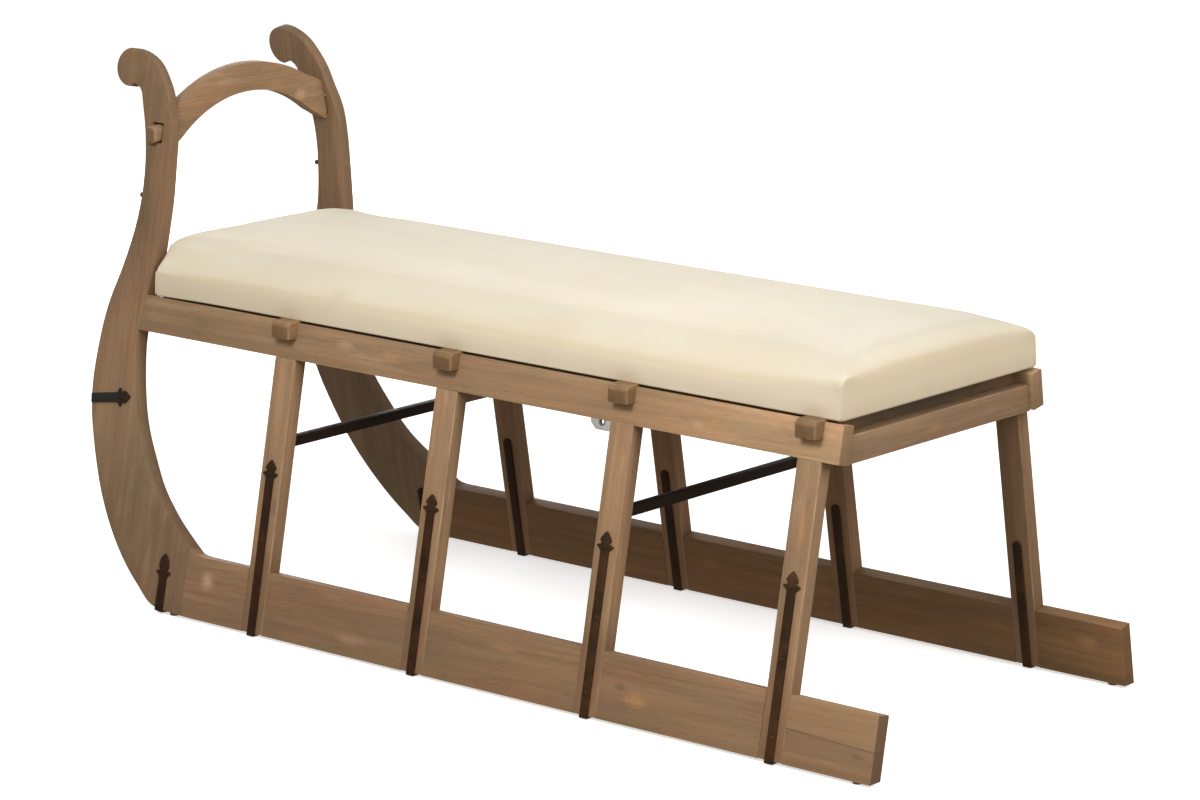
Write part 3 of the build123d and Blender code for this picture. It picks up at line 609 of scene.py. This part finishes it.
for hand, side in (("left", 1), ("right", -1)):
    eu, ev, ew, at = board_axes(side)
    s = 1.0 if side > 0 else 5.0
    # the brightening given to the runner and the seat rail below is painted light, brighter towards the rear
    softened(hand + "_runner", "_wood", 0.0023,
             wood(hand + "_runner_wood", (eu, ev, ew), at, s + 0.3,
                  tone=(0.97, 0.86, 0.78) if side > 0 else (0.80, 0.64, 0.465),
                  brighter_stretch=(0.380, -0.080, 0.12) if side > 0 else None, end=0.80 if side > 0 else 0.30,
                  heart=(0.020, -0.085), knots=LEFT_RUNNER_KNOTS if side > 0 else RIGHT_RUNNER_KNOTS,
                  seam=(0.0465, -0.010, (0.405, 0.275, 0.150)) if side > 0 else None), 3,
             cuts=((ev, at, 0.030, 0.770, 34),), shape=toed(side), joint=(at + eu * 1.018, eu))
    softened(hand + "_upright", "_wood", 0.0018,
             wood(hand + "_upright_wood", (ev, eu, -ew), at, s + 1.7, tone=(0.80, 0.74, 0.69) if side > 0 else (0.82, 0.77, 0.74),
                  brighter_stretch=(0.130, 0.260, 0.20, 0.360, 0.560) if side > 0 else None, heart=(1.12, -0.10)),
             limit=24.0, cuts=((ev, at, 0.030, 0.770, 34), (eu, at, 1.060, 1.255, 8)), shape=bowed(side),
             joint=(at + eu * 1.018, eu))
    softened(hand + "_seat_rail", "_wood", 0.0016,
             wood(hand + "_rail_wood", (eu, ev, ew), at, s + 2.9, tone=(1.17, 1.10, 1.03), brighter_stretch=(0.420, 0.020, 0.32),
                  heart=(0.42, -0.07),
                  knots=LEFT_RAIL_KNOTS if side > 0 else ()),
             cuts=((eu, at, 1.020, 1.150, 9),), shape=bowed(side, thin=False))
    for i, front in LEG_FRONTS.items():
        softened(f"{hand}_leg_{i}", "_wood", 0.0015,
                 wood(f"{hand}_leg_{i}_wood", (ev, eu, -ew), at, s + 3.3 + i * 1.37,
                      tone=(1.19, 1.09, 1.01) if side > 0 else (1.12, 0.99, 0.88) if i < 4 else (1.11, 1.04, 0.95), heart=(front - 0.019, -0.06 - 0.01 * i),
                      knots=LEG_KNOTS.get((hand, i), ()), foot=0.105))
        u = front - 0.019
        heads = [(at + eu * u + ev * v - ew * 0.003, -ew, 0.0030) for v in (0.030, 0.130, 0.2225)]
        heads += [(at + eu * u + ev * v + ew * 0.025, ew, 0.0030) for v in (0.040, 0.176)]
        softened(f"{hand}_leg_{i}_strap", "_iron", 0.0006, iron(f"{hand}_strap_{i}_iron", s + i,
                                                                dark=(0.028, 0.0115, 0.0038) if i < 3 else (0.034, 0.0165, 0.0050),
                                                                rust=(0.062, 0.0235, 0.0070) if i < 3 else (0.079, 0.0345, 0.0103)),
                 extra=nails(heads))
    heads = [(at + eu * 1.062 + ev * v - ew * 0.003, -ew, 0.0030) for v in (0.030, 0.060)]
    heads += [(at + eu * 1.062 + ev * v + ew * 0.025, ew, 0.0030) for v in (0.068,)]
    step = eu * -0.003 - ev * 0.0006 if side > 0 else eu * 0.004 + ev * 0.0008
    softened(hand + "_toe_strap", "_iron", 0.0006,
             iron(hand + "_toe_iron", s + 6, dark=(0.016, 0.0065, 0.0025), rust=(0.044, 0.016, 0.005)),
             cuts=((ev, at, 0.020, 0.070, 4),), extra=nails(heads),
             shape=lambda co, follow=bowed(side), step=step: above_floor(follow(co + step)))

    def brow_point(a, w):
        return at + eu * (1.2415 + a * math.cos(TILT)) + ev * (0.277 - a * math.sin(TILT)) + ew * w

    heads = [(brow_point(-0.060, -0.003), -ew, 0.0030), (brow_point(-0.018, -0.003), -ew, 0.0030),
             (brow_point(-0.048, 0.025), ew, 0.0030)]
    softened(hand + "_brow_strap", "_iron", 0.0006,
             iron(hand + "_brow_iron", s + 7, dark=(0.020, 0.010, 0.004), rust=(0.044, 0.021, 0.008), grey=(1.2415 - 0.048) if side > 0 else None),
             cuts=((eu, at, 1.175, 1.235, 4),), shape=hugging(side), extra=nails(heads))

# on bearer 4 the knot rows draw no knots: the large dark patch over its middle is painted shade, where it shows in the
# gap under the cushion, and the small one makes its left end darker
for i in (1, 2, 3, 4):
    softened(f"bearer_{i}", "_wood", 0.0026,
             wood(f"bearer_{i}_wood", (Y, X, Z), Vector((0, 0, 0)), 9.0 + i, tone={2: (0.71, 0.61, 0.47), 3: (0.83, 0.70, 0.55), 4: (0.78, 0.69, 0.56)}.get(i, (0.82, 0.72, 0.59)),
                  heart=(-0.9, 0.3), end=0.30,
                  knots=((0.0, -0.560, 0.240, 0.60, (0.100, 0.074, 0.046), 0.80),
                         (0.238, -0.560, 0.027, 0.60, (0.172, 0.130, 0.082), 0.75)) if i == 4 else ()), 3)
softened("cross_rail", "_wood", 0.0012, wood("cross_rail_wood", (Y, Z, X), Vector((0, 0, 0)), 14.2, heart=(0.30, 0.05)))
softened("rear_apron", "_wood", 0.0016,
         wood("rear_apron_wood", (Y, Z, X), Vector((0, 0, 0)), 15.9, tone=(1.09, 1.01, 0.97), heart=(0.36, -0.66),
              knots=((0.010, 0.392, 0.020, 0.008, ORANGE, 0.45),)))
softened("front_arch", "_wood", 0.0016,
         wood("front_arch_wood", (Y, Z, X), Vector((0, 0, 0)), 17.1, tone=(1.14, 1.06, 0.98), heart=(0.52, 0.58), end=0.85,
              knots=ARCH_KNOTS), shape=shouldered)
softened("seat_board", "_wood", 0.0008, wood("seat_board_wood", (X, Y, Z), Vector((0, 0, 0)), 19.4,
                                             tone=(0.80, 0.78, 0.75), heart=(0.1, 0.2)))
for n in ("front_stretcher", "rear_stretcher"):
    softened(n, "_iron", 0.0011, iron(n + "_iron", 21.0 if n[0] == "f" else 23.0, dark=(0.022, 0.013, 0.008),
                                      rust=(0.036, 0.017, 0.009), amount=0.5, rough=0.52), 2)
softened("rope_pins", "_iron", 0.0006, iron("rope_pin_iron", 25.0, dark=(0.060, 0.034, 0.018),
                                                       rust=(0.110, 0.060, 0.030)), 3)
softened("seat_brackets", "_metal", 0.0005, pale_metal("bracket_metal"), 2, shape=tucked)
softened("floor_glides", "_pad", 0.0006, brown_pad("floor_glide_pad"), 2)

# ------------------------------------------------------------------
# cushion
# ------------------------------------------------------------------
low_corner, high_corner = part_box("cushion")
CX = (low_corner.x + high_corner.x) / 2
HX = (high_corner.x - low_corner.x) / 2
HY = high_corner.y
Z0 = low_corner.z
CROWN = 0.0830
# height of the cover over its lower edge by distance in from a side or an end
SIDE_RISE = ((0.0, 0.0270), (0.003, 0.0370), (0.007, 0.0435), (0.011, 0.0475), (0.018, 0.0535), (0.026, 0.0590),
             (0.036, 0.0648), (0.056, 0.0718), (0.086, 0.0770), (0.126, 0.0803), (0.216, 0.0830))
FRONT_SIDE_RISE = ((0.0, 0.0310), (0.0054, 0.0395), (0.0146, 0.0490), (0.0195, 0.0540), (0.023, 0.0590),
                   (0.028, 0.0670), (0.033, 0.0725), (0.041, 0.0758), (0.061, 0.0798), (0.092, 0.0822), (0.216, 0.0830))
REAR_SIDE_RISE = ((0.0, 0.0450), (0.002, 0.0490), (0.005, 0.0525), (0.012, 0.0570), (0.030, 0.0635), (0.056, 0.0700),
                  (0.086, 0.0750), (0.126, 0.0795), (0.216, 0.0830))
FRONT_RISE = ((0.0, 0.0715), (0.002, 0.0742), (0.005, 0.0765), (0.010, 0.0783), (0.018, 0.0798), (0.040, 0.0815),
              (0.090, 0.0827), (0.200, 0.0830))
REAR_RISE = ((0.0, 0.0450), (0.001, 0.0500), (0.0025, 0.0545), (0.005, 0.0587), (0.009, 0.0632), (0.015, 0.0675),
             (0.024, 0.0717), (0.040, 0.0758), (0.065, 0.0791), (0.110, 0.0814), (0.200, 0.0830))


def rise(x, y):
    """Height of the cover over its lower edge, x and y measured from the cushion's middle."""
    from_side, from_front, from_rear = HY - abs(y), HX - x, HX + x
    rear = math.exp(-(from_rear / 0.100) ** 2) * (0.90 + 0.10 * ease(y, -0.10, 0.16))
    front = math.exp(-(from_front / 0.090) ** 2) * ease(y, -0.14, 0.06)
    a = CROWN - (line(SIDE_RISE, from_side) * (1 - rear - front) + line(REAR_SIDE_RISE, from_side) * rear
                 + line(FRONT_SIDE_RISE, from_side) * front)
    if x > 0:
        b = CROWN - line(FRONT_RISE, from_front)
    else:
        b = (CROWN - line(REAR_RISE, from_rear)) * (1 - (0.45 + 0.30 * ease(y, -0.1, 0.1)) * math.exp(-(from_side / 0.030) ** 2))
    return CROWN - math.hypot(a, b)


def steps(half):
    near = [0.0, 0.0015, 0.003, 0.005, 0.008, 0.012, 0.017, 0.023, 0.030, 0.038]
    inner = half - near[-1]
    count = max(2, round(2 * inner / 0.0088))
    middle = [-inner + 2 * inner * i / count for i in range(1, count)]
    return [-(half - d) for d in near] + middle + [half - d for d in reversed(near)]


def hang(x):
    """How far the lower edge sags at the front end."""
    return 0.0020 * math.exp(-((HX - x) / 0.070) ** 2)


def cushion_mesh():
    xs, ys = steps(HX), steps(HY)
    corner = 0.0055
    bm = bmesh.new()

    def rounded(x, y):
        ax, ay = abs(x) - (HX - corner), abs(y) - (HY - corner)
        if ax > 0 and ay > 0:
            a, b = ax / corner, ay / corner
            ax, ay = a * math.sqrt(1 - b * b / 2) * corner, b * math.sqrt(1 - a * a / 2) * corner
            x, y = math.copysign(HX - corner + ax, x), math.copysign(HY - corner + ay, y)
        return x, y

    top, bottom = {}, {}
    for i, x in enumerate(xs):
        for j, y in enumerate(ys):
            px, py = rounded(x, y)
            top[i, j] = bm.verts.new((CX + px, py, Z0 + rise(px, py)))
            # the underside rises over the seat board
            inside = min(HX - abs(px), HY - abs(py))
            bottom[i, j] = bm.verts.new((CX + px, py, Z0 + 0.0097 * ease(inside, 0.006, 0.011)))
            bottom[i, j].co.z -= hang(px)
    nx, ny = len(xs), len(ys)
    for i in range(nx - 1):
        for j in range(ny - 1):
            bm.faces.new((top[i, j], top[i + 1, j], top[i + 1, j + 1], top[i, j + 1]))
            bm.faces.new((bottom[i, j], bottom[i, j + 1], bottom[i + 1, j + 1], bottom[i + 1, j]))
    ring = ([(i, 0) for i in range(nx)] + [(nx - 1, j) for j in range(1, ny)]
            + [(i, ny - 1) for i in range(nx - 2, -1, -1)] + [(0, j) for j in range(ny - 2, 0, -1)])
    levels = (0.92, 0.78, 0.62, 0.47, 0.33, 0.21, 0.12, 0.05)
    columns = []
    for key in ring:
        a, b = top[key], bottom[key]
        tall = a.co.z - Z0
        columns.append([a] + [bm.verts.new((a.co.x, a.co.y, Z0 + h * tall - hang(a.co.x - CX) * (1.0 - h) ** 2))
                              for h in levels] + [b])
    for k, c in enumerate(columns):
        n = columns[(k + 1) % len(columns)]
        for m in range(len(c) - 1):
            bm.faces.new((c[m], c[m + 1], n[m + 1], n[m]))
    bmesh.ops.recalc_face_normals(bm, faces=bm.faces)
    bm.verts.index_update()
    corners = [[v.index for v in columns[ring.index(key)]]
               for key in ((0, 0), (nx - 1, 0), (nx - 1, ny - 1), (0, ny - 1))]
    mesh = bpy.data.meshes.new("cushion_cover")
    bm.to_mesh(mesh)
    bm.free()
    return mesh, corners


mesh, corners = cushion_mesh()
cushion = bpy.data.objects.new("cushion_cover", mesh)
bpy.context.scene.collection.objects.link(cushion)


def puff(piece, cap):
    """Inflates the cover as cloth, held along its tacked lower edge, and keeps every point within cap."""
    mesh = piece.data
    rest = [v.co.copy() for v in mesh.vertices]
    group = piece.vertex_groups.new(name="tacked")
    for v in mesh.vertices:
        if v.co.z < Z0 + 0.011:
            group.add([v.index], 1.0, "REPLACE")
    cloth = piece.modifiers.new("Cloth", "CLOTH")
    cloth.settings.quality = 5
    cloth.settings.mass = 0.25
    cloth.settings.tension_stiffness = 40
    cloth.settings.compression_stiffness = 40
    cloth.settings.shear_stiffness = 20
    cloth.settings.bending_stiffness = 1.0
    cloth.settings.air_damping = 2.0
    cloth.settings.use_pressure = True
    cloth.settings.uniform_pressure_force = 4.0
    cloth.settings.effector_weights.gravity = 0.0
    cloth.settings.vertex_group_mass = "tacked"
    cloth.collision_settings.use_collision = False
    cloth.point_cache.frame_start = 1
    cloth.point_cache.frame_end = 20
    scene = bpy.context.scene
    scene.frame_start, scene.frame_end = 1, 20
    for f in range(1, 21):
        scene.frame_set(f)
    shaped = bpy.data.meshes.new_from_object(piece.evaluated_get(bpy.context.evaluated_depsgraph_get()))
    moved = [v.co.copy() for v in shaped.vertices]
    bpy.data.meshes.remove(shaped)
    piece.modifiers.remove(cloth)
    piece.vertex_groups.clear()
    scene.frame_set(1)
    for v, a, b in zip(mesh.vertices, rest, moved):
        d = b - a
        v.co = a + d * (cap / (cap + d.length) * ease(a.z - Z0, 0.006, 0.050))


puff(cushion, 0.0026)

# painted shade just above each bearer end, standing in for the shadow of the block under the cover, and two darker
# marks on the left side
marks = []
for i in (1, 2, 3, 4):
    a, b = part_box(f"bearer_{i}")
    for s in (1, -1):
        marks.append(((a.x + b.x) / 2 + 0.004, s * HY, Z0 + 0.006, 0.024, 0.012, 0.75))
marks.append((0.2527, HY, 0.4790, 0.016, 0.008, 0.55))
marks.append((-0.118, HY, 0.4900, 0.045, 0.016, 0.30))
shade_and_marks = cushion.data.attributes.new("shade_and_marks", "FLOAT", "POINT")
for k, v in enumerate(cushion.data.vertices):
    value = 0.0
    for x, y, z, wide, tall, strength in marks:
        if abs(v.co.y - y) < 0.05:
            value += strength * math.exp(-((v.co.x - x) / wide) ** 2 - ((v.co.z - z) / tall) ** 2)
    shade_and_marks.data[k].value = min(value, 1.0)

# the cover is folded and stitched at its four corners
bm = bmesh.new()
SEAM_TOP = Z0 + 0.051
for column in corners:
    path = [cushion.data.vertices[k].co.copy() for k in column]
    path = [p for p in path if p.z < SEAM_TOP]
    path.sort(key=lambda p: p.z)
    out = Vector((path[0].x - CX, 0, 0)).normalized() + Vector((0, path[0].y, 0)).normalized()
    out.normalize()
    across = Vector((-out.y, out.x, 0))
    path[0] = path[0] + Z * 0.0012
    rings = []
    for k, p in enumerate(path):
        grow = 1.0 if 0 < k < len(path) - 1 else 0.35
        rings.append([bm.verts.new(p + out * (0.0006 + 0.0013 * grow * math.cos(q)) + across * (0.0010 * grow * math.sin(q)))
                      for q in (2 * math.pi * m / 10 for m in range(10))])
    for low, high in zip(rings[:-1], rings[1:]):
        for m in range(10):
            bm.faces.new((low[m], low[(m + 1) % 10], high[(m + 1) % 10], high[m]))
    bm.faces.new(rings[-1])
    bm.faces.new(rings[0][::-1])
bmesh.ops.recalc_face_normals(bm, faces=bm.faces)
for face in bm.faces:
    face.smooth = True
mesh = bpy.data.meshes.new("cushion_corner_seams")
bm.to_mesh(mesh)
bm.free()
seams = bpy.data.objects.new("cushion_corner_seams", mesh)
bpy.context.scene.collection.objects.link(seams)
seams.data.materials.append(cotton("seam_cotton"))
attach(seams, "root")

for polygon in cushion.data.polygons:
    polygon.use_smooth = True
cushion.data.materials.append(cotton("cushion_cotton"))
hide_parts("cushion")
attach(cushion, "root")

# ------------------------------------------------------------------
# floor, light and camera
# ------------------------------------------------------------------
WORLD_LOW, WORLD_HIGH = (0.330, 0.310, 0.270), (0.515, 0.510, 0.495)
OVERHEAD, LEFT_PANEL, REAR_PANEL, FRONT_FILL = 4.0, 57.0, 46.0, 36.0

bm = bmesh.new()
bmesh.ops.create_grid(bm, x_segments=8, y_segments=8, size=30.0)
mesh = bpy.data.meshes.new("studio_floor")
bm.to_mesh(mesh)
bm.free()
floor = bpy.data.objects.new("studio_floor", mesh)
bpy.context.scene.collection.objects.link(floor)
t = Tree("studio_floor")
dust = t.noise(scaled(t, t.node("ShaderNodeTexCoord").outputs["Object"], 3, 3, 3, 1), 1.0, 2.0)
t.put(t.shader.inputs["Base Color"], t.mix(dust, (0.90, 0.90, 0.90), (0.93, 0.93, 0.93)))
t.shader.inputs["Roughness"].default_value = 0.9
t.shader.inputs["Emission Color"].default_value = (1.0, 1.0, 1.0, 1.0)
t.shader.inputs["Emission Strength"].default_value = 0.60
floor.data.materials.append(t.material)
floor.visible_diffuse = False
floor.visible_glossy = False

world = bpy.data.worlds.new("studio")
bpy.context.scene.world = world
world.use_nodes = True
w = Tree.__new__(Tree)
w.tree = world.node_tree
dx, dy, dz = w.separate(w.node("ShaderNodeTexCoord").outputs["Generated"])
# a pale room: bright above, dim and warm below
above = w.span(dz, -0.10, 0.35)
w.put(world.node_tree.nodes["Background"].inputs["Color"], w.mix(above, WORLD_LOW, WORLD_HIGH))
world.node_tree.nodes["Background"].inputs["Strength"].default_value = 1.0


def area(name, place, aim, size, power, colour):
    light = bpy.data.lights.new(name, "AREA")
    light.shape = "RECTANGLE"
    light.size, light.size_y = size
    light.energy = power
    light.color = colour
    o = bpy.data.objects.new(name, light)
    bpy.context.scene.collection.objects.link(o)
    o.location = place
    o.rotation_euler = (Vector(aim) - Vector(place)).to_track_quat("-Z", "Y").to_euler()
    return o


area("overhead", (-0.3, 0.3, 2.6), (-0.1, 0.0, 0.3), (2.2, 1.6), OVERHEAD, (1.0, 0.985, 0.96))
area("left_panel", (-0.6, 2.4, 2.4), (-0.1, 0.0, 0.3), (1.1, 0.9), LEFT_PANEL, (1.0, 0.985, 0.96))
area("rear_panel", (-3.0, 0.4, 2.0), (-0.1, 0.0, 0.3), (1.0, 2.0), REAR_PANEL, (1.0, 0.985, 0.96))
area("front_fill", (3.2, -2.2, 1.1), (0.0, 0.0, 0.35), (1.6, 1.6), FRONT_FILL, (1.0, 0.985, 0.96))

camera = bpy.data.cameras.new("camera")
camera.sensor_width = 36.0
camera.sensor_fit = "HORIZONTAL"
camera.lens = 137.56
camera.clip_end = 200.0
yaw, pitch, roll = -0.8852, 0.2244, -0.0087
forward = Vector((math.cos(yaw) * math.cos(pitch), math.sin(yaw) * math.cos(pitch), -math.sin(pitch)))
right = Vector((math.sin(yaw), -math.cos(yaw), 0.0))
down = forward.cross(right)
r2 = right * math.cos(roll) + down * math.sin(roll)
d2 = down * math.cos(roll) - right * math.sin(roll)
eye = bpy.data.objects.new("camera", camera)
bpy.context.scene.collection.objects.link(eye)
eye.matrix_world = Matrix.Translation((-3.90276, 4.72384, 1.73386)) @ Matrix((r2, -d2, -forward)).transposed().to_4x4()
bpy.context.scene.camera = eye
bpy.context.scene.view_settings.view_transform = "Standard"
